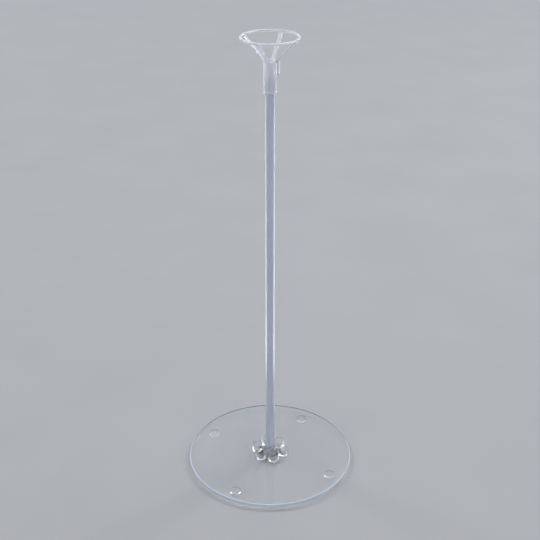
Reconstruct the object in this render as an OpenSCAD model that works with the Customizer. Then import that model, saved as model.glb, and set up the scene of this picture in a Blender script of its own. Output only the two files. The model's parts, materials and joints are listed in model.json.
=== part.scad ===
// Clear plastic balloon stand: a round base plate on four soft feet, a
// seven-socket hub held through the plate by a nut, a plain tube pole, and a
// ring-shaped balloon cup with a springy clip for the balloon's neck.
// Millimetres, +Z up, origin on the table under the pole's axis.

/* [Base plate] */
// Diameter of the round base plate
plate_d = 145; // [110:1:200]
// Thickness of the base plate
plate_t = 2.5; // [2:0.1:5]
// Rounding of the plate's rim, top and bottom
plate_edge_r = 0.6; // [0.2:0.1:0.9]

/* [Feet] */
// Diameter of each soft foot where it is stuck to the plate
foot_d = 9.4; // [7:0.1:14]
// Rounding of the foot's lower edge
foot_edge_r = 1.2; // [0.4:0.1:1.6]
// Distance from the plate's rim to the middle of a foot
foot_inset = 12.5; // [10:0.5:20]

/* [Pole] */
// Outer diameter of the tube
pole_d = 8; // [6:0.1:10]
// Wall thickness of the tube
pole_wall = 1; // [0.6:0.1:1.6]
// Length of the tube
pole_len = 350; // [150:5:500]
// Chamfer on the tube's ends
pole_chamfer = 0.3; // [0.1:0.05:0.5]
// Radial clearance between the tube and whatever holds it
pole_clear = 0.05; // [0.02:0.01:0.1]

/* [Socket hub] */
// Number of sockets around the centre one
outer_sockets = 6; // [3:1:6]
// Height of the outer sockets above the plate
socket_h = 6; // [5:0.1:12]
// Height of the centre socket above the plate
centre_h = 7; // [5:0.1:14]
// Wall of a socket at its rim
socket_wall = 0.7; // [0.6:0.1:1.5]
// How much wider a socket is at its root than at its rim, on the radius
socket_draft = 0.15; // [0:0.05:0.4]
// Width of the step around a socket's root
socket_step = 0.25; // [0.2:0.05:1]
// Rounding of a socket's rim
rim_round = 0.35; // [0.1:0.05:0.35]
// Chamfer in a socket's mouth
lead_in = 0.25; // [0.1:0.05:0.25]
// Thickness of the socket floors and of the step
floor_t = 1.2; // [0.8:0.1:2]
// Clear space between the steps of neighbouring sockets
socket_gap = 1.7; // [0.6:0.1:3]
// Width of the webs that tie the outer sockets to the centre one
web_w = 2; // [1.2:0.1:3]
// Height of the webs above the plate
web_h = 4.2; // [2.4:0.1:4.5]
// Wall of the spigot that goes down through the plate
spigot_wall = 1.5; // [1.2:0.1:3]
// Thickness of the spigot's floor, which the pole stands on
spigot_floor = 1; // [0.6:0.1:1.6]
// Width of the centre shoulder that bears on the plate
shoulder_w = 0.9; // [0.6:0.1:2.4]
// Radial clearance of the spigot in the plate
spigot_clear = 0.08; // [0.03:0.01:0.1]

/* [Hub nut] */
// Width of the nut around the spigot
nut_w = 4.6; // [3:0.1:7]
// Thickness of the nut
nut_t = 2; // [1.5:0.1:3]
// Number of finger scallops around the nut
nut_scallops = 12; // [6:1:16]
// Radius of a finger scallop
scallop_r = 1.4; // [0.8:0.1:2]
// Depth of a finger scallop
scallop_depth = 0.7; // [0.3:0.1:1]
// Chamfer around the nut's lower edge
nut_chamfer = 0.35; // [0.1:0.05:0.6]
// Radial clearance of the nut on the spigot
nut_clear = 0.05; // [0.02:0.01:0.1]
// Air between the nut and the table
nut_air = 1; // [0.6:0.1:2]

/* [Balloon cup] */
// Diameter of the ring, through the middle of its wire
ring_d = 43.6; // [34:0.2:60]
// Thickness of the ring's round wire
ring_wire_d = 2.1; // [1.6:0.1:3]
// Height of the ring above the collar's top
cup_rise = 17.1; // [12:0.1:26]
// Angle of the cup on the tube, from the diagonals
cup_turn = 5.5; // [0:0.5:90]
// Number of arms that carry the ring
arm_count = 4; // [3:1:6]
// Width of an arm
arm_w = 3.2; // [2.4:0.1:4.4]
// Thickness of an arm
arm_t = 1.4; // [1:0.1:1.6]
// Wall of the collar around the tube
collar_wall = 1.1; // [0.8:0.1:1.6]
// Depth of the tube in the collar
collar_grip = 11.2; // [8:0.1:20]
// Length of the collar above the tube's end
throat_len = 13.2; // [8:0.1:20]
// How far the collar's inside steps in above the tube's end
throat_step = 1.3; // [0.8:0.1:1.8]
// Radius of the bead around the collar's mouth
bead_r = 0.9; // [0.6:0.1:1.2]
// How far the bead stands out of the collar
bead_out = 0.3; // [0.1:0.05:0.5]

/* [Neck clip] */
// Slot between the collar and the clip, for the balloon's neck
clip_gap = 0.9; // [0.6:0.05:1.4]
// Thickness of the clip
clip_t = 1.4; // [1:0.1:1.6]
// Length of the clip below the arm, along its outer side
clip_len = 11.5; // [9:0.1:16]
// Radius of the nib that keeps the neck in the slot
nib_r = 0.4; // [0.2:0.05:0.5]
// Height of the nib above the clip's lower end
nib_up = 1.4; // [0.8:0.1:2.5]

/* [Hidden] */
$fn = 96;
// How far a cut runs past the face it opens
over = 0.01;

foot_nodes = ["foot_front_right", "foot_back_right", "foot_back_left", "foot_front_left"];

// Feet stand on the diagonals, front right first; a socket stands on +Y.
diagonal = -45;
first_socket = 90;
clip_angle = diagonal + cup_turn;

// Radii
plate_r = plate_d / 2;
foot_r = foot_d / 2;
foot_ring_r = plate_r - foot_inset;
pole_r = pole_d / 2;
pole_bore_r = pole_r - pole_wall;
tube_fit_r = pole_r + pole_clear;
rim_r = tube_fit_r + socket_wall;
root_r = rim_r + socket_draft;
step_r = root_r + socket_step;
spigot_r = tube_fit_r + spigot_wall;
plate_hole_r = spigot_r + spigot_clear;
shoulder_r = plate_hole_r + shoulder_w;
nut_bore_r = spigot_r + nut_clear;
nut_r = nut_bore_r + nut_w;
collar_r = tube_fit_r + collar_wall;
throat_r = pole_r - throat_step;
ring_r = ring_d / 2;
wire_r = ring_wire_d / 2;
clip_in_r = collar_r + clip_gap;
clip_r = clip_in_r + clip_t / 2;

// Outer sockets stand clear of each other and of the centre one.
socket_pitch = 2 * step_r + socket_gap;
socket_ring_r = max(socket_pitch, socket_pitch / (2 * sin(180 / outer_sockets)));

// Heights, from the table up
nut_z = nut_air;
plate_z = nut_z + nut_t;
plate_top = plate_z + plate_t;
floor_top = plate_top + floor_t;
pole_z = nut_z + spigot_floor;
pole_top = pole_z + pole_len;
collar_z = pole_top - collar_grip;
collar_top = pole_top + throat_len;
ring_z = collar_top + cup_rise;

// An arm's middle line runs from inside the collar's wall to the ring's wire.
arm_r = collar_r - arm_t / 2;
arm_z = collar_top - arm_t / 2;
arm_slope = atan2(ring_z - arm_z, ring_r - arm_r);
arm_len = norm([ring_r - arm_r, ring_z - arm_z]);

// The clip hangs from the arm's underside, so its outer top edge is on that plane.
clip_top = arm_z + (clip_in_r + clip_t - arm_r) * tan(arm_slope) - arm_t / 2 / cos(arm_slope);
clip_z = clip_top - clip_len;

// What a rounding of round_r takes off the outer corner at height z, above or below it
module corner_cut(out_r, z, round_r, above) {
    difference() {
        translate([out_r - round_r, above ? z - over : z - round_r]) square(round_r + over);
        translate([out_r - round_r, above ? z + round_r : z - round_r]) circle(round_r);
    }
}

// Half-section of a turned piece with its outer corners rounded
module turned_section(in_r, out_r, low_z, high_z, low_round, high_round) {
    difference() {
        translate([in_r, low_z]) square([out_r - in_r, high_z - low_z]);
        if (low_round > 0) corner_cut(out_r, low_z, low_round, true);
        if (high_round > 0) corner_cut(out_r, high_z, high_round, false);
    }
}

// Flat bar section with fully rounded edges, wide along Y and thin along X
module bar_section(wide, thin) {
    square([thin, wide - thin], center = true);
    for (side = [-1, 1]) translate([0, side * (wide - thin) / 2]) circle(thin / 2);
}

module bore(radius, low_z, high_z) {
    translate([0, 0, low_z]) cylinder(r = radius, h = high_z - low_z);
}

module around_hub() {
    for (i = [0 : outer_sockets - 1]) rotate(first_socket + i * 360 / outer_sockets) children();
}

// Half-section of a socket's wall: drafted outside, rounded rim, chamfered mouth
module socket_section(height) {
    difference() {
        translate([0, plate_top]) polygon([
            [tube_fit_r, 0], [root_r, 0], [rim_r, height - rim_round], [rim_r, height],
            [tube_fit_r + lead_in, height], [tube_fit_r, height - lead_in]
        ]);
        corner_cut(rim_r, plate_top + height, rim_round, false);
    }
}

module outer_socket() {
    rotate_extrude() {
        socket_section(socket_h);
        translate([0, plate_top]) square([step_r, floor_t]);
    }
}

// The centre socket goes on down through the plate as a spigot with a floor.
module centre_socket() {
    rotate_extrude() {
        socket_section(centre_h);
        translate([tube_fit_r, plate_top]) square([shoulder_r - tube_fit_r, floor_t]);
        translate([tube_fit_r, nut_z]) square([spigot_wall, floor_top - nut_z]);
        translate([0, nut_z]) square([spigot_r, spigot_floor]);
    }
}

// A web runs from the middle of one socket's wall to the middle of the other's,
// and its underside stands clear of the plate by half the floor's thickness.
module web() {
    wall_r = tube_fit_r + socket_wall / 2;
    web_up = floor_t / 2;
    translate([wall_r, -web_w / 2, plate_top + web_up])
        cube([socket_ring_r - 2 * wall_r, web_w, web_h - web_up]);
}

module base_plate() {
    color([0.80, 0.86, 0.94, 0.35]) rotate_extrude()
        turned_section(plate_hole_r, plate_r, plate_z, plate_top, plate_edge_r, plate_edge_r);
}

module foot(index) {
    color([0.84, 0.87, 0.92, 0.5])
        rotate(diagonal + index * 360 / len(foot_nodes)) translate([foot_ring_r, 0, 0])
            rotate_extrude() turned_section(0, foot_r, 0, plate_z, foot_edge_r, 0);
}

module socket_hub() {
    color([0.86, 0.88, 0.94, 0.45]) {
        centre_socket();
        around_hub() translate([socket_ring_r, 0, 0]) outer_socket();
        around_hub() web();
    }
}

module hub_nut() {
    color([0.84, 0.87, 0.93, 0.5]) difference() {
        translate([0, 0, nut_z]) {
            cylinder(r1 = nut_r - nut_chamfer, r2 = nut_r, h = nut_chamfer);
            translate([0, 0, nut_chamfer]) cylinder(r = nut_r, h = nut_t - nut_chamfer);
        }
        bore(nut_bore_r, nut_z - over, plate_z + over);
        for (i = [0 : nut_scallops - 1]) rotate(i * 360 / nut_scallops)
            translate([nut_r + scallop_r - scallop_depth, 0, 0])
                bore(scallop_r, nut_z - over, plate_z + over);
    }
}

module pole() {
    end_r = pole_r - pole_chamfer;
    color([0.72, 0.75, 0.82, 0.6]) difference() {
        translate([0, 0, pole_z]) {
            cylinder(r1 = end_r, r2 = pole_r, h = pole_chamfer);
            translate([0, 0, pole_chamfer]) cylinder(r = pole_r, h = pole_len - 2 * pole_chamfer);
            translate([0, 0, pole_len - pole_chamfer]) cylinder(r1 = pole_r, r2 = end_r, h = pole_chamfer);
        }
        bore(pole_bore_r, pole_z - over, pole_top + over);
    }
}

// Sleeve over the tube's end, with a beaded mouth below and a narrower throat above
module collar() {
    rotate_extrude() {
        turned_section(0, collar_r, collar_z, collar_top, collar_wall / 2, collar_wall / 2);
        translate([collar_r + bead_out - bead_r, collar_z + bead_r]) circle(bead_r);
    }
}

module arm() {
    translate([arm_r, 0, arm_z]) rotate([0, 90 - arm_slope, 0])
        linear_extrude(arm_len) bar_section(arm_w, arm_t);
}

module balloon_cup() {
    color([0.85, 0.87, 0.93, 0.5]) difference() {
        union() {
            collar();
            translate([0, 0, ring_z]) rotate_extrude() translate([ring_r, 0]) circle(wire_r);
            for (i = [0 : arm_count - 1]) rotate(clip_angle + i * 360 / arm_count) arm();
        }
        bore(tube_fit_r, collar_z - over, pole_top);
        bore(throat_r, pole_top - over, ring_z);
    }
}

// Springy finger that hangs from the first arm beside the collar
module neck_clip() {
    color([0.88, 0.90, 0.95, 0.5]) rotate(clip_angle) difference() {
        union() {
            translate([clip_r, 0, clip_z + clip_t / 2]) {
                linear_extrude(clip_len) bar_section(arm_w, clip_t);
                rotate([90, 0, 0]) cylinder(d = clip_t, h = arm_w - clip_t, center = true);
            }
            translate([clip_in_r, 0, clip_z + nib_up])
                rotate([90, 0, 0]) cylinder(r = nib_r, h = arm_w - clip_t, center = true);
        }
        translate([arm_r, 0, arm_z]) rotate([0, -arm_slope, 0])
            translate([-arm_len, -arm_w, -arm_t / 2]) cube([2 * arm_len, 2 * arm_w, arm_len]);
    }
}

base_plate();
for (i = [0 : len(foot_nodes) - 1])
    foot(i);
socket_hub();
hub_nut();
pole();
balloon_cup();
neck_clip();
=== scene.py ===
import json
from math import cos, pi, radians, sin

import bpy
import numpy as np
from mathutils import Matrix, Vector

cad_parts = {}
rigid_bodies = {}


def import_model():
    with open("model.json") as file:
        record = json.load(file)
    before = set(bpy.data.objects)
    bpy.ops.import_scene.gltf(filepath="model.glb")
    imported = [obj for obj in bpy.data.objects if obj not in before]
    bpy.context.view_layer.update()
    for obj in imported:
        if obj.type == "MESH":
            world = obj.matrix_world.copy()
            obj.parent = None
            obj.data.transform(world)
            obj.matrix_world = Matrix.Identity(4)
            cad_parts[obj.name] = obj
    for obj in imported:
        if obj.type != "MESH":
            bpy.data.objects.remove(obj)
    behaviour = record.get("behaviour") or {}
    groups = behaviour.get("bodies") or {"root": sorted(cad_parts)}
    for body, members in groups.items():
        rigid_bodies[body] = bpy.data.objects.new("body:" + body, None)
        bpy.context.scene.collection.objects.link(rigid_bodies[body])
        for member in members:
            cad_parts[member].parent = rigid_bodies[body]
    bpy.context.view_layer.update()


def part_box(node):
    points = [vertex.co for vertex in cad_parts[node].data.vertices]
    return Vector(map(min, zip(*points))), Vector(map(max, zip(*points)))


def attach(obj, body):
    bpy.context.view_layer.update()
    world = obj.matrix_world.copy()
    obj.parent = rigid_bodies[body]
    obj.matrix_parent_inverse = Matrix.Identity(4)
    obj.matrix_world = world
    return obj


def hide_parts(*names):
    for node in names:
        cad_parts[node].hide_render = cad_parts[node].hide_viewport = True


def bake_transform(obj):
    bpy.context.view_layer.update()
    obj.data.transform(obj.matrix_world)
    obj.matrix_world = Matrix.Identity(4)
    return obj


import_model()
mm = 0.001  # shape values are in millimetres, meshes in metres
hair = 0.02  # air between clear pieces that rest on each other

# the photograph's viewpoint: in front and a little left of the stand, looking down
viewpoint = {
    "place": (-183.7, -685.4, 557.1),
    "downward": 27.3,
    "towardsRight": 15.0,
    "lens": 64.76,
    "sensor": 36.0,
    "nearest": 10.0,
}
camera = bpy.data.objects.new("camera", bpy.data.cameras.new("camera"))
bpy.context.scene.collection.objects.link(camera)
camera.location = [c * mm for c in viewpoint["place"]]
camera.rotation_euler = (radians(90 - viewpoint["downward"]), 0, radians(-viewpoint["towardsRight"]))
camera.data.sensor_fit = "HORIZONTAL"
camera.data.sensor_width = viewpoint["sensor"]
camera.data.lens = viewpoint["lens"]
camera.data.clip_start = viewpoint["nearest"] * mm
bpy.context.scene.camera = camera
print("camera placed")


def unit(vectors):
    # each vector over its own length
    return vectors / np.linalg.norm(vectors, axis=-1, keepdims=True)


def onRing(radius, degrees):
    # the point of a circle about the Z axis at an angle from +X
    return radius * cos(radians(degrees)), radius * sin(radians(degrees))


def roundedLoop(corners, radii, steps):
    # each corner gives way to an arc of its radius: the arc's middle is on the corner's bisector, radius over
    # the sine of half the angle away, and its points turn evenly from one tangent point to the other
    p = np.asarray(corners, float)
    r = np.asarray(radii, float)
    before = unit(np.roll(p, 1, axis=0) - p)
    after = unit(np.roll(p, -1, axis=0) - p)
    half = np.arccos(np.clip((before * after).sum(axis=1), -1, 1)) / 2
    middle = p + unit(before + after) * (r / np.sin(half))[:, None]
    reach = (r / np.tan(half))[:, None]
    first = p + before * reach - middle
    last = p + after * reach - middle
    start = np.arctan2(first[:, 1], first[:, 0])
    cross = first[:, 0] * last[:, 1] - first[:, 1] * last[:, 0]
    turn = np.arctan2(cross, (first * last).sum(axis=1))
    angle = start[:, None] + turn[:, None] * np.linspace(0, 1, steps + 1)
    ring = np.stack([np.cos(angle), np.sin(angle)], axis=-1)
    return (middle[:, None] + r[:, None, None] * ring).reshape(-1, 2)


def axisProfile(corners, radii, steps):
    # a rounded loop whose first and last corners are on the axis, each kept once
    return roundedLoop(corners, radii, steps)[steps:-steps]


def withSpacing(loop, spacing):
    # points are put in at every spacing along a closed loop, except a third of it or less from one that is there
    loop = np.concatenate([loop, loop[:1]])
    length = np.concatenate([[0], np.cumsum(np.linalg.norm(np.diff(loop, axis=0), axis=1))])
    extra = np.arange(spacing, length[-1], spacing)
    apart = np.abs(extra[:, None] - length).min(axis=1) > spacing / 3
    at = np.sort(np.concatenate([length, extra[apart]]))
    return np.stack([np.interp(at, length, loop[:, k]) for k in (0, 1)], axis=1)[:-1]


def gridFaces(rows, columns, closedRows):
    # quads between neighbours on a grid whose columns close on themselves
    i = np.arange(rows if closedRows else rows - 1)[:, None]
    j = np.arange(columns)[None, :]
    up, along = (i + 1) % rows, (j + 1) % columns
    corners = [i * columns + j, i * columns + along, up * columns + along, up * columns + j]
    return np.stack([np.broadcast_to(c, (i.size, j.size)).ravel() for c in corners], axis=1)


def fan(centre, ring):
    # triangles from one point to each pair of neighbours on a ring
    return np.stack([np.full(ring.size, centre), ring, np.roll(ring, -1)], axis=1)


def shutEnds(points, ends):
    # a grid whose first and last rows are each shut by a fan from an end point
    rows, columns = points.shape[:2]
    ring = np.arange(columns)
    faces = [gridFaces(rows, columns, False)]
    faces += [fan(rows * columns, ring[::-1]), fan(rows * columns + 1, ring + (rows - 1) * columns)]
    return np.concatenate([points.reshape(-1, 3), ends]), faces


def lathe(profile, turns, centre=(0, 0), wave=None):
    # radius and height of each profile point carried round the Z axis: (r cos a, r sin a, z), with a wave of
    # angle and height added to the radius; a profile from axis to axis is shut by a fan at each pole
    angle = np.linspace(0, 2 * pi, turns, endpoint=False)[None, :]
    r, z = profile[:, :1], profile[:, 1:]
    capped = r[0, 0] < 1e-9 and r[-1, 0] < 1e-9
    inner = slice(1, -1) if capped else slice(None)
    radius = r[inner] + (wave(angle, z[inner], r[inner]) if wave else 0 * angle)
    height = z[inner] + 0 * angle
    points = np.stack([centre[0] + radius * np.cos(angle), centre[1] + radius * np.sin(angle), height], axis=-1)
    if capped:
        return shutEnds(points, np.array([[*centre, z[0, 0]], [*centre, z[-1, 0]]]))
    return points.reshape(-1, 3), [gridFaces(*points.shape[:2], True)]


def barLoop(steps):
    # a circle as two half turns, to be pulled apart sideways into a flat bar with round edges
    half = np.linspace(0, pi, steps)
    return np.concatenate([half, half + pi]), np.concatenate([np.ones(steps), -np.ones(steps)])


def carriedBar(path, side, up, wide, thin, steps):
    # at each path point: up * half the thickness * cos a + side * (half the thickness * sin a + or - the
    # straight part's half width)
    angle, sign = barLoop(steps)
    halfThin = thin[:, None] / 2
    across = halfThin * np.sin(angle) + sign * (wide[:, None] / 2 - halfThin)
    over = halfThin * np.cos(angle)
    return shutEnds(path[:, None, :] + across[..., None] * side + over[..., None] * up, path[[0, -1]])


def turned(shell, degrees):
    # the same shell after a turn about Z
    a = radians(degrees)
    points, faces = shell
    turn = np.array([[cos(a), sin(a), 0], [-sin(a), cos(a), 0], [0, 0, 1]])
    return points @ turn, faces


def makeObject(name, shell):
    points, faces = shell
    mesh = bpy.data.meshes.new(name)
    mesh.from_pydata(points * mm, [], [f for block in faces for f in block.tolist()])
    mesh.update()
    made = bpy.data.objects.new(name, mesh)
    bpy.context.scene.collection.objects.link(made)
    return made


def smoothShading(piece, sharpAngle=38):
    piece.data.shade_smooth()
    piece.data.set_sharp_from_angle(angle=radians(sharpAngle))
    return piece


def fused(name, shells):
    # one skin around several closed shells: the first joins each of the others by an exact union
    body = makeObject(name, shells[0])
    others = bpy.data.collections.new(name + "Shells")
    bpy.context.scene.collection.children.link(others)
    for number, shell in enumerate(shells[1:]):
        other = makeObject(f"{name}Shell{number}", shell)
        bpy.context.scene.collection.objects.unlink(other)
        others.objects.link(other)
    union = body.modifiers.new("union", "BOOLEAN")
    union.operation = "UNION"
    union.operand_type = "COLLECTION"
    union.collection = others
    union.solver = "EXACT"
    skin = bpy.data.meshes.new_from_object(body.evaluated_get(bpy.context.evaluated_depsgraph_get()))
    body.modifiers.clear()
    body.data = skin
    skin.name = name
    for other in list(others.objects):
        bpy.data.objects.remove(other)
    bpy.data.collections.remove(others)
    return body


class Tap:
    # one output of a material's node tree; + and * between taps and numbers add Math nodes
    def __init__(self, tree, socket=None):
        self.tree = tree
        self.socket = socket

    def node(self, kind, settings, sockets, output=0):
        made = self.tree.nodes.new(kind)
        for key, value in settings.items():
            setattr(made, key, value)
        for key, value in sockets.items():
            if isinstance(value, Tap):
                self.tree.links.new(value.socket, made.inputs[key])
            else:
                made.inputs[key].default_value = value
        return Tap(self.tree, made.outputs[output])

    def math(self, operation, first, second):
        return self.node("ShaderNodeMath", {"operation": operation}, {0: first, 1: second})

    def __add__(self, other):
        return self.math("ADD", self, other)

    def __radd__(self, other):
        return self.math("ADD", other, self)

    def __mul__(self, other):
        return self.math("MULTIPLY", self, other)

    def __rmul__(self, other):
        return self.math("MULTIPLY", other, self)

    def scaled(self, start, gain):
        return start + gain * self

    def between(self, low, high):
        # a smooth step from 0 at low to 1 at high
        return self.node("ShaderNodeMapRange", {"interpolation_type": "SMOOTHSTEP"},
                         {"Value": self, "From Min": low, "From Max": high})

    def noise(self, stretch, detail, turn=(0, 0, 0)):
        # noise on object coordinates, in waves per metre along each axis
        place = self.node("ShaderNodeTexCoord", {}, {}, "Object")
        place = self.node("ShaderNodeMapping", {}, {"Vector": place, "Scale": stretch, "Rotation": turn})
        return self.node("ShaderNodeTexNoise", {}, {"Vector": place, "Scale": 1.0, "Detail": detail})

    def fromAxis(self):
        # distance from the Z axis
        place = self.node("ShaderNodeTexCoord", {}, {}, "Object")
        flat = self.node("ShaderNodeVectorMath", {"operation": "MULTIPLY"}, {0: place, 1: (1, 1, 0)})
        return self.node("ShaderNodeVectorMath", {"operation": "LENGTH"}, {0: flat}, "Value")

    def blend(self, low, high):
        # this value mixes two colours; 6, 7 and output 2 are the Mix node's colour sockets
        return self.node("ShaderNodeMix", {"data_type": "RGBA"}, {0: self, 6: low, 7: high}, 2)

    def bump(self, distance, strength):
        sockets = {"Height": self, "Distance": distance, "Strength": strength}
        return self.node("ShaderNodeBump", {}, sockets, "Normal")


def plastic(name, constants, varying):
    # a Principled material: constants sit on its own sockets, varying(tap) gives the taps that feed the rest
    material = bpy.data.materials.new(name)
    material.use_nodes = True
    tree = material.node_tree
    shader = tree.nodes["Principled BSDF"]
    for key, value in constants.items():
        shader.inputs[key].default_value = value
    for key, tap in varying(Tap(tree)).items():
        tree.links.new(tap.socket, shader.inputs[key])
    return material


def dress(piece, material):
    piece.data.materials.clear()
    piece.data.materials.append(material)


# in the dictionaries below a noise is (waves per metre, detail, turn), a roughness is (least, what the noise
# adds), and a bump is (height in metres, strength)

# base plate: cut clear sheet with a polished rim
plate = {
    "radius": 72.5,
    "edgeRound": 0.6,
    "holeRadius": 5.63,
    "holeRound": 0.15,
    "arcSteps": 8,
    "turns": 288,
    "rowSpacing": 6.0,
    "sheet": {"IOR": 1.49, "Transmission Weight": 1.0},
    "clear": (0.99, 0.994, 1.0, 1),
    "smudged": (0.975, 0.982, 0.994, 1),
    "smudgeNoise": ((38, 38, 38), 5.0),
    "smudgeRange": (0.42, 0.72),
    "sheetRoughness": (0.01, 0.04),
    "hairlineNoises": (((2400, 60, 60), 2.0, (0, 0, 0.6)), ((50, 2100, 60), 2.0, (0, 0, -0.3))),
    "hairlineBump": (0.000004, 0.35),
    "cut": {"IOR": 1.49, "Transmission Weight": 0.25},
    "cutPale": (0.81, 0.90, 1.0, 1),
    "cutBlue": (0.67, 0.82, 0.98, 1),
    "cutNoise": ((3600, 3600, 60), 2.0),
    "cutRange": (0.3, 0.7),
    "cutRoughness": (0.2, 0.2),
    "cutBump": (0.00002, 0.5),
}
plateLow, plateHigh = (corner.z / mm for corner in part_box("base_plate"))


def plateSheet():
    # a rectangle with rounded corners, from the hole to the rim, turned round the axis
    corners = [(plate["holeRadius"], plateLow), (plate["radius"], plateLow),
               (plate["radius"], plateHigh), (plate["holeRadius"], plateHigh)]
    rounds = [plate["holeRound"], plate["edgeRound"], plate["edgeRound"], plate["holeRound"]]
    profile = roundedLoop(corners, rounds, plate["arcSteps"])
    return lathe(withSpacing(profile, plate["rowSpacing"]), plate["turns"])


def clearSheet(tap):
    # smudges, and hairline scratches in two directions
    smudge = tap.noise(*plate["smudgeNoise"]).between(*plate["smudgeRange"])
    along, across = [tap.noise(*noise) for noise in plate["hairlineNoises"]]
    hairline = along + across
    return {
        "Base Color": smudge.blend(plate["clear"], plate["smudged"]),
        "Roughness": smudge.scaled(*plate["sheetRoughness"]),
        "Normal": hairline.bump(*plate["hairlineBump"]),
    }


def cutEdge(tap):
    # the cut rim is frosted a little by the fine upright marks of the cutter
    marks = tap.noise(*plate["cutNoise"])
    return {
        "Base Color": marks.between(*plate["cutRange"]).blend(plate["cutPale"], plate["cutBlue"]),
        "Roughness": marks.scaled(*plate["cutRoughness"]),
        "Normal": marks.bump(*plate["cutBump"]),
    }


piece = smoothShading(makeObject("plateSheet", plateSheet()))
dress(piece, plastic("clearSheet", plate["sheet"], clearSheet))
piece.data.materials.append(plastic("cutEdge", plate["cut"], cutEdge))
middles = np.zeros(len(piece.data.polygons) * 3)
piece.data.polygons.foreach_get("center", middles)
onRim = np.linalg.norm(middles.reshape(-1, 3)[:, :2], axis=1) > (plate["radius"] - plate["edgeRound"]) * mm
piece.data.polygons.foreach_set("material_index", onRim.astype(np.int32))
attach(piece, "base")
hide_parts("base_plate")
print("base plate made")

# feet: soft clear stick-on pads with a dished underside
foot = {
    "angles": {"foot_front_right": -45, "foot_back_right": 45, "foot_back_left": 135, "foot_front_left": 225},
    "ringRadius": 60.0,
    "radius": 4.7,
    "edgeRound": 0.45,
    "topRound": 0.12,
    "dishRadius": 2.6,
    "dishDepth": 0.18,
    "dishSlope": 0.5,
    "dishRound": 0.3,
    "lipRound": 0.2,
    "arcSteps": 8,
    "turns": 72,
    "pad": {"IOR": 1.45, "Transmission Weight": 1.0},
    "pale": (0.97, 0.975, 0.985, 1),
    "grey": (0.90, 0.92, 0.95, 1),
    "cloudNoise": ((420, 420, 420), 4.0),
    "cloudRange": (0.3, 0.7),
    "roughness": (0.06, 0.08),
    "grainNoise": ((2600, 2600, 2600), 2.0),
    "grainBump": (0.00001, 0.3),
}


def footPad(degrees):
    # the pad's half section, from the dish to its flat top, turned round its own axis
    top = plateLow - hair
    lip = foot["dishRadius"] + foot["dishSlope"]
    corners = [(0, foot["dishDepth"]), (foot["dishRadius"], foot["dishDepth"]), (lip, 0),
               (foot["radius"], 0), (foot["radius"], top), (0, top)]
    rounds = [0, foot["dishRound"], foot["lipRound"], foot["edgeRound"], foot["topRound"], 0]
    profile = axisProfile(corners, rounds, foot["arcSteps"])
    return lathe(profile, foot["turns"], onRing(foot["ringRadius"], degrees))


def softPad(tap):
    # a faint cloud in the pad, and a fine grain on it
    cloud = tap.noise(*foot["cloudNoise"])
    return {
        "Base Color": cloud.between(*foot["cloudRange"]).blend(foot["pale"], foot["grey"]),
        "Roughness": cloud.scaled(*foot["roughness"]),
        "Normal": tap.noise(*foot["grainNoise"]).bump(*foot["grainBump"]),
    }


padMaterial = plastic("softPad", foot["pad"], softPad)
for node, degrees in foot["angles"].items():
    piece = smoothShading(makeObject(node.replace("foot_", "pad_"), footPad(degrees)))
    dress(piece, padMaterial)
    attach(piece, "base")
    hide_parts(node)
print("feet made")

# socket hub: one clear moulding, six sockets around the centre one
hub = {
    "sockets": 6,
    "firstSocket": 90,
    "ringRadius": 12.0,
    "boreRadius": 4.05,
    "wall": 0.7,
    "draft": 0.15,
    "step": 0.25,
    "floor": 1.2,
    "outerHeight": 6.0,
    "centreHeight": 7.0,
    "rimRound": 0.33,
    "leadIn": 0.2,
    "boreRound": 0.15,
    "rootRound": 0.1,
    "stepRound": 0.12,
    "seatRound": 0.05,
    "ejector": 1.5,
    "ejectorDepth": 0.08,
    "ejectorSlope": 0.05,
    "ejectorRound": 0.02,
    "shoulder": 6.53,
    "spigot": 5.55,
    "spigotFloor": 1.0,
    "spigotRound": 0.15,
    "webWide": 2.0,
    "webFlare": 0.9,
    "webHeight": 4.2,
    "webRows": 17,
    "webSteps": 10,
    "arcSteps": 4,
    "turns": 96,
    "moulding": {"IOR": 1.49, "Transmission Weight": 1.0},
    "clear": (0.985, 0.988, 0.995, 1),
    "hazy": (0.95, 0.96, 0.985, 1),
    "flowNoise": ((160, 160, 520), 4.0),
    "hazeRange": (0.35, 0.75),
    "roughness": (0.02, 0.06),
    "flowBump": (0.00001, 0.2),
}
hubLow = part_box("socket_hub")[0].z / mm
rimRadius = hub["boreRadius"] + hub["wall"]
rootRadius = rimRadius + hub["draft"]
stepRadius = rootRadius + hub["step"]
floorTop = plateHigh + hub["floor"]
hubSeat = plateHigh + hair


def outerSocket(degrees):
    # the cup's half section, with its step outside and an ejector mark in its floor, turned round its own axis
    top = plateHigh + hub["outerHeight"]
    mark = floorTop - hub["ejectorDepth"]
    corners = [(0, hubSeat), (stepRadius, hubSeat), (stepRadius, floorTop), (rootRadius, floorTop),
               (rimRadius, top), (hub["boreRadius"], top), (hub["boreRadius"], floorTop),
               (hub["ejector"] + hub["ejectorSlope"], floorTop), (hub["ejector"], mark), (0, mark)]
    rounds = [0, hub["seatRound"], hub["stepRound"], hub["rootRound"], hub["rimRound"], hub["leadIn"],
              hub["boreRound"], hub["ejectorRound"], hub["ejectorRound"], 0]
    profile = axisProfile(corners, rounds, hub["arcSteps"])
    return lathe(profile, hub["turns"], onRing(hub["ringRadius"], degrees))


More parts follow.
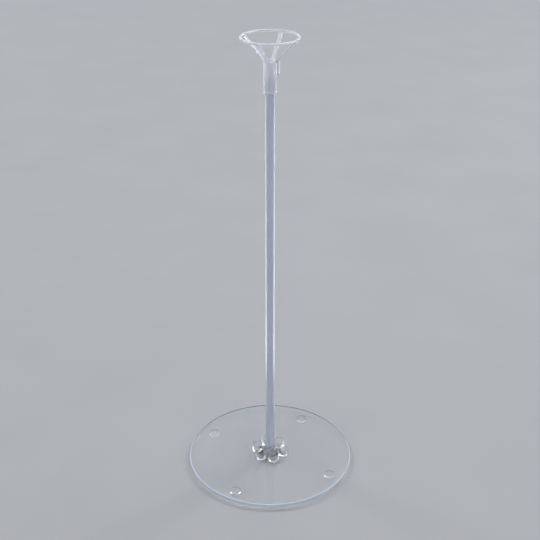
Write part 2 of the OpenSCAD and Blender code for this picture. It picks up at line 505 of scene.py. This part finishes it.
def centreSocket():
    # the half section of the taller centre cup, which goes down through the plate as the spigot
    top = plateHigh + hub["centreHeight"]
    seat = hubLow + hub["spigotFloor"]
    corners = [(0, hubLow), (hub["spigot"], hubLow), (hub["spigot"], hubSeat), (hub["shoulder"], hubSeat),
               (hub["shoulder"], floorTop), (rootRadius, floorTop), (rimRadius, top),
               (hub["boreRadius"], top), (hub["boreRadius"], seat), (0, seat)]
    rounds = [0, hub["spigotRound"], hub["seatRound"], hub["seatRound"], hub["stepRound"], hub["rootRound"],
              hub["rimRound"], hub["leadIn"], hub["boreRound"], 0]
    return lathe(axisProfile(corners, rounds, hub["arcSteps"]), hub["turns"])


def web(degrees):
    # a bar on edge, wider towards both ends by the flare times the fourth power of the way from its middle
    wallMiddle = hub["boreRadius"] + hub["wall"] / 2
    low, high = plateHigh + hub["floor"] / 2, plateHigh + hub["webHeight"]
    t = np.linspace(-1, 1, hub["webRows"])
    path = np.zeros((t.size, 3))
    path[:, 0] = hub["ringRadius"] / 2 + t * (hub["ringRadius"] / 2 - wallMiddle)
    path[:, 2] = (low + high) / 2
    thin = hub["webWide"] + hub["webFlare"] * t**4
    tall = np.maximum(high - low, thin)
    shell = carriedBar(path, np.array([0.0, 0, 1]), np.array([0.0, -1, 0]), tall, thin, hub["webSteps"])
    return turned(shell, degrees)


def clearMoulding(tap):
    # the melt's flow leaves a faint haze and ripple
    flow = tap.noise(*hub["flowNoise"])
    haze = flow.between(*hub["hazeRange"])
    return {
        "Base Color": haze.blend(hub["clear"], hub["hazy"]),
        "Roughness": haze.scaled(*hub["roughness"]),
        "Normal": flow.bump(*hub["flowBump"]),
    }


mouldingMaterial = plastic("clearMoulding", hub["moulding"], clearMoulding)
spokes = hub["firstSocket"] + np.arange(hub["sockets"]) * 360 / hub["sockets"]
shells = [centreSocket()] + [outerSocket(a) for a in spokes] + [web(a) for a in spokes]
piece = smoothShading(fused("hubMoulding", shells))
dress(piece, mouldingMaterial)
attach(piece, "hub")
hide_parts("socket_hub")
print("socket hub made:", len(piece.data.polygons), "faces")

# hub nut: scalloped ring under the plate, of the hub's material
nut = {
    "boreRadius": 5.6,
    "radius": 10.2,
    "chamfer": 0.35,
    "edgeRound": 0.12,
    "arcSteps": 4,
    "scallops": 12,
    "scallopDepth": 0.7,
    "turns": 240,
}
nutLow, nutHigh = (corner.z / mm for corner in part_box("hub_nut"))


def nutRing():
    # a rectangle with its lower outer corner cut off, turned round the axis
    inset = nut["radius"] - nut["chamfer"]
    corners = [(nut["boreRadius"], nutLow), (inset, nutLow), (nut["radius"], nutLow + nut["chamfer"]),
               (nut["radius"], nutHigh), (nut["boreRadius"], nutHigh)]
    profile = roundedLoop(corners, [nut["edgeRound"]] * len(corners), nut["arcSteps"])

    def scallops(angle, z, r):
        # each scallop dips by the depth times the eighth power of a cosine and the square of the way out
        dip = np.cos(angle * nut["scallops"] / 2) ** 8
        share = np.clip((r - nut["boreRadius"]) / (nut["radius"] - nut["boreRadius"]), 0, 1)
        return -nut["scallopDepth"] * dip * share**2

    return lathe(profile, nut["turns"], wave=scallops)


piece = smoothShading(makeObject("nutRing", nutRing()))
dress(piece, mouldingMaterial)
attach(piece, "hub")
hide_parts("hub_nut")
print("hub nut made")

# pole: extruded milky tube
tube = {
    "radius": 4.0,
    "boreRadius": 3.0,
    "chamfer": 0.3,
    "endRound": 0.06,
    "arcSteps": 3,
    "rowSpacing": 5.0,
    "turns": 120,
    "dieLine": 0.0005,
    "dieWaves": ((17, 0.7), (29, 0.0), (41, 2.1)),  # waves around the tube, and where each starts
    "waver": 0.004,
    "waverWaves": (0.11, 0.037),  # radians per millimetre of height
    "milk": {"IOR": 1.5, "Transmission Weight": 0.88, "Sheen Weight": 0.6, "Sheen Roughness": 0.4},
    "milky": (0.82, 0.85, 0.915, 1),
    "smoky": (0.78, 0.81, 0.89, 1),
    "streakNoise": ((700, 700, 4), 2.0),
    "streakShare": 0.4,
    "cloudNoise": ((60, 60, 14), 3.0),
    "cloudShare": 0.6,
    "milkRange": (0.3, 0.7),
    "roughness": (0.1, 0.08),
    "streakBump": (0.000005, 0.3),
}
tubeLow, tubeHigh = (corner.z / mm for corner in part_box("pole"))


def poleTube():
    # the wall's section, its outer corners cut off at both ends, turned round the axis
    outer, inner, cut = tube["radius"], tube["boreRadius"], tube["chamfer"]
    corners = [(inner, tubeLow), (outer - cut, tubeLow), (outer, tubeLow + cut),
               (outer, tubeHigh - cut), (outer - cut, tubeHigh), (inner, tubeHigh)]
    profile = roundedLoop(corners, [tube["endRound"]] * len(corners), tube["arcSteps"])

    def drawn(angle, z, r):
        # die lines run along the tube, and its radius wavers slowly with height
        lines = sum(np.cos(count * angle + start) for count, start in tube["dieWaves"])
        quick, slow = tube["waverWaves"]
        return tube["dieLine"] * lines + tube["waver"] * np.sin(z * quick) * np.sin(z * slow + angle)

    return lathe(withSpacing(profile, tube["rowSpacing"]), tube["turns"], wave=drawn)


def milkyTube(tap):
    # streaks along the tube and slow clouds make it more or less milky
    streak = tap.noise(*tube["streakNoise"])
    cloud = tap.noise(*tube["cloudNoise"])
    milk = (tube["streakShare"] * streak + tube["cloudShare"] * cloud).between(*tube["milkRange"])
    return {
        "Base Color": milk.blend(tube["smoky"], tube["milky"]),
        "Roughness": cloud.scaled(*tube["roughness"]),
        "Normal": streak.bump(*tube["streakBump"]),
    }


piece = smoothShading(makeObject("poleTube", poleTube()))
dress(piece, plastic("milkyTube", tube["milk"], milkyTube))
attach(piece, "pole")
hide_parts("pole")
print("pole made")

# balloon cup: one satin moulding of collar, four arms and a round-wire ring
cup = {
    "boreRadius": 4.05,
    "boreRound": 0.05,
    "mouthRound": 0.15,
    "collarRadius": 5.15,
    "collarRound": 0.5,
    "throatRadius": 2.7,
    "throatRound": 0.25,
    "stopRound": 0.12,
    "beadRadius": 0.9,
    "beadOut": 0.3,
    "beadRound": 0.28,
    "beadRoot": 0.04,
    "arcSteps": 6,
    "rowSpacing": 2.0,
    "turns": 128,
    "ringRadius": 21.8,
    "wireRadius": 1.05,
    "partingLine": 0.035,
    "partingWide": 0.07,
    "wireSteps": 40,
    "ringTurns": 240,
    "rise": 17.1,
    "armAngles": (-39.5, 50.5, 140.5, 230.5),
    "armWide": 3.2,
    "armThin": 1.4,
    "ringFlare": 1.0,
    "collarFlare": 0.5,
    "armRows": 41,
    "armSteps": 10,
    "satin": {"IOR": 1.5, "Transmission Weight": 0.62, "Sheen Weight": 0.9, "Sheen Roughness": 0.4},
    "clear": (0.95, 0.955, 0.99, 1),
    "hazy": (0.92, 0.925, 0.975, 1),
    "flowNoise": ((220, 220, 320), 4.0),
    "hazeRange": (0.3, 0.7),
    "roughness": (0.12, 0.08),
    "flowBump": (0.00001, 0.2),
}
cupLow, cupHigh = (corner.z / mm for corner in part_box("balloon_cup"))
ringHeight = cupHigh - cup["wireRadius"]
collarTop = ringHeight - cup["rise"]


def collar():
    # the wall's section, with a bead around its mouth and a step in that stops the tube, turned round the axis
    outer, bore, throat = cup["collarRadius"], cup["boreRadius"], cup["throatRadius"]
    bead = cup["collarRadius"] + cup["beadOut"]
    beadTop = cupLow + 2 * cup["beadRadius"]
    corners = [(bore, cupLow), (bead, cupLow), (bead, beadTop), (outer, beadTop), (outer, collarTop),
               (throat, collarTop), (throat, tubeHigh), (bore, tubeHigh)]
    rounds = [cup["mouthRound"], cup["beadRound"], cup["beadRound"], cup["beadRoot"], cup["collarRound"],
              cup["throatRound"], cup["stopRound"], cup["boreRound"]]
    profile = roundedLoop(corners, rounds, cup["arcSteps"])
    return lathe(withSpacing(profile, cup["rowSpacing"]), cup["turns"])


def wireRing():
    # a circle of the wire's radius with a fine ridge on its outer side, where the mould parted: a bell curve of
    # the sine of half the angle
    angle = np.linspace(0, 2 * pi, cup["wireSteps"], endpoint=False)
    ridge = np.exp(-((np.sin(angle / 2) / cup["partingWide"]) ** 2))
    wire = cup["wireRadius"] + cup["partingLine"] * (ridge - 1)
    profile = np.stack([cup["ringRadius"] + wire * np.cos(angle), ringHeight + wire * np.sin(angle)], axis=1)
    return lathe(profile, cup["ringTurns"])


armFoot = np.array([cup["collarRadius"] - cup["armThin"] / 2, 0, collarTop - cup["armThin"] / 2])
armHead = np.array([cup["ringRadius"], 0, ringHeight])
armLine = unit(armHead - armFoot)
armUp = np.array([-armLine[2], 0, armLine[0]])


def cupArm(degrees):
    # a straight flat bar from the collar to the ring, wider towards its ends as a steep power of the way along it
    t = np.linspace(0, 1, cup["armRows"])
    path = armFoot + t[:, None] * (armHead - armFoot)
    wide = cup["armWide"] + cup["ringFlare"] * t**14 + cup["collarFlare"] * (1 - t) ** 8
    thin = np.full(t.size, cup["armThin"])
    return turned(carriedBar(path, np.array([0.0, 1, 0]), armUp, wide, thin, cup["armSteps"]), degrees)


def cupMoulding(tap):
    # the melt's flow leaves a haze and a ripple
    flow = tap.noise(*cup["flowNoise"])
    haze = flow.between(*cup["hazeRange"])
    return {
        "Base Color": haze.blend(cup["clear"], cup["hazy"]),
        "Roughness": haze.scaled(*cup["roughness"]),
        "Normal": flow.bump(*cup["flowBump"]),
    }


cupMaterial = plastic("cupMoulding", cup["satin"], cupMoulding)
shells = [collar(), wireRing()] + [cupArm(a) for a in cup["armAngles"]]
piece = smoothShading(fused("cupMoulding", shells))
dress(piece, cupMaterial)
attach(piece, "cup")
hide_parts("balloon_cup")
print("balloon cup made:", len(piece.data.polygons), "faces")

# neck clip: springy finger under the front right arm, of the cup's material
clip = {
    "angle": -39.5,
    "gap": 0.9,
    "thin": 1.4,
    "wide": 3.2,
    "nibUp": 1.4,
    "nibOut": 0.4,
    "nibLong": 0.7,
    "bend": 5.0,
    "rows": 48,
    "tipRows": 10,
    "tipShare": 0.06,
    "tipLeast": 0.0004,
    "edgeSteps": 12,
}
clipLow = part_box("neck_clip")[0].z / mm
clipInside = cup["collarRadius"] + clip["gap"]
armUnder = armFoot - armUp * cup["armThin"] / 2


def underArm(x):
    # height of the arm's underside at a distance from the axis
    return armUnder[2] + (x - armUnder[0]) * (armLine[2] / armLine[0])


def clipFinger():
    # a flat bar down from the arm's underside: its half thickness ends in a half circle, and a nib, half a
    # cosine wave long, stands out of its inner side; rows crowd at its tip, and the top row follows the arm
    half = clip["thin"] / 2
    angle, sign = barLoop(clip["edgeSteps"])
    tip = np.linspace(0, clip["tipShare"], clip["tipRows"]) ** 2 / clip["tipShare"]
    t = np.concatenate([tip, np.linspace(clip["tipShare"], 1, clip["rows"])[1:]])[:, None]
    low = t * (underArm(clipInside + half) - clipLow)
    ending = np.sqrt(np.clip(1 - np.clip(1 - low / half, 0, 1) ** 2, clip["tipLeast"], 1))
    over = half * ending * np.cos(angle)
    nib = clip["nibOut"] * np.clip(np.cos((low - clip["nibUp"]) * pi / 2 / clip["nibLong"]), 0, 1)
    near = np.abs(low - clip["nibUp"]) < clip["nibLong"]
    x = clipInside + half + over - nib * near * np.clip(-np.cos(angle), 0, 1)
    y = half * ending * np.sin(angle) + sign * (clip["wide"] / 2 - half)
    z = clipLow + t * (underArm(x) - clipLow)
    points = np.stack(np.broadcast_arrays(x, y, z), axis=-1)
    return turned(shutEnds(points, points[[0, -1]].mean(axis=1)), clip["angle"])


piece = smoothShading(makeObject("clipFinger", clipFinger()))
dress(piece, cupMaterial)
# its root stays on the arm; bendAt is the point on the arm's underside above its root
bendAt = np.array([*onRing(clipInside, clip["angle"]), underArm(clipInside)]) * mm
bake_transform(piece)
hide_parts("neck_clip")
print("neck clip made")

# plain pale floor and soft light, in metres
studio = {
    "floorSide": 40.0,
    "floorDrop": 0.00002,
    "paper": {"Specular IOR Level": 0.2},
    "floorNear": (0.355, 0.36, 0.371, 1),
    "floorFar": (0.93, 0.935, 0.95, 1),
    "floorReach": (0.5, 5.5),
    "grainNoise": ((9, 9, 9), 6.0),
    "grainShare": 0.08,
    "roughness": (0.75, 0.1),
    "sky": (0.93, 0.95, 1.0, 1),
    "skyStrength": 0.65,
    "bounces": 32,
    "glossyBounces": 16,
}
# name: (place, aimed at, width, height, power, spread, colour); the low edge panels behind left and right
# light the edges of the clear pieces
lamps = {
    "keyBox": ((-1.5, -0.9, 1.7), (0, 0, 0.2), 1.0, 1.0, 5.0, 180, (1.0, 0.985, 0.97)),
    "fillBox": ((1.6, -0.8, 1.4), (0, 0, 0.2), 1.0, 1.2, 3.5, 180, (0.95, 0.975, 1.0)),
    "topStrip": ((0.55, 0.55, 1.7), (0, 0, 0.2), 0.9, 0.2, 6.0, 180, (0.98, 0.99, 1.0)),
    "leftStrip": ((-1.05, 1.29, 2.0), (0, 0, 0.2), 0.4, 1.0, 13.0, 180, (0.96, 0.98, 1.0)),
    "rightStrip": ((1.48, 0.74, 2.0), (0, 0, 0.2), 0.4, 1.0, 13.0, 180, (0.96, 0.98, 1.0)),
    "edgeLeft": ((-0.1185, 0.1971, 0.17), (0, 0, 0.328), 0.12, 0.388, 0.06, 120, (0.97, 0.98, 1.0)),
    "edgeRight": ((0.2012, 0.1115, 0.17), (0, 0, 0.328), 0.12, 0.388, 0.06, 120, (0.97, 0.98, 1.0)),
}


def floorPaper(tap):
    # paler further out, where less light falls
    grain = tap.noise(*studio["grainNoise"])
    far = tap.fromAxis().between(*studio["floorReach"]) + studio["grainShare"] * grain
    return {
        "Base Color": far.blend(studio["floorNear"], studio["floorFar"]),
        "Roughness": grain.scaled(*studio["roughness"]),
    }


side, depth = studio["floorSide"] / 2 / mm, -studio["floorDrop"] / mm
floorPoints = np.array([[-side, -side, depth], [side, -side, depth], [side, side, depth], [-side, side, depth]])
floor = makeObject("floor", (floorPoints, [np.array([[0, 1, 2, 3]])]))
floor.data.materials.append(plastic("floorPaper", studio["paper"], floorPaper))

for name, (place, target, width, height, power, spread, colour) in lamps.items():
    lamp = bpy.data.lights.new(name, "AREA")
    lamp.shape = "RECTANGLE"
    lamp.size = width
    lamp.size_y = height
    lamp.energy = power
    lamp.spread = radians(spread)
    lamp.color = colour
    lampObject = bpy.data.objects.new(name, lamp)
    lampObject.location = place
    lampObject.visible_camera = False
    aim = np.array(target) - np.array(place)
    flat = np.hypot(aim[0], aim[1])
    lampObject.rotation_euler = (np.arctan2(flat, -aim[2]), 0, np.arctan2(aim[1], aim[0]) - pi / 2)
    bpy.context.scene.collection.objects.link(lampObject)

world = bpy.data.worlds.new("studio")
world.use_nodes = True
background = world.node_tree.nodes["Background"]
background.inputs["Color"].default_value = studio["sky"]
background.inputs["Strength"].default_value = studio["skyStrength"]
bpy.context.scene.world = world
bpy.context.scene.view_settings.view_transform = "Standard"

# light passes many clear walls, and reaches the floor through them unblurred
paths = bpy.context.scene.cycles
paths.max_bounces = studio["bounces"]
paths.transmission_bounces = studio["bounces"]
paths.glossy_bounces = studio["glossyBounces"]
paths.blur_glossy = 0.0
print("studio lit")
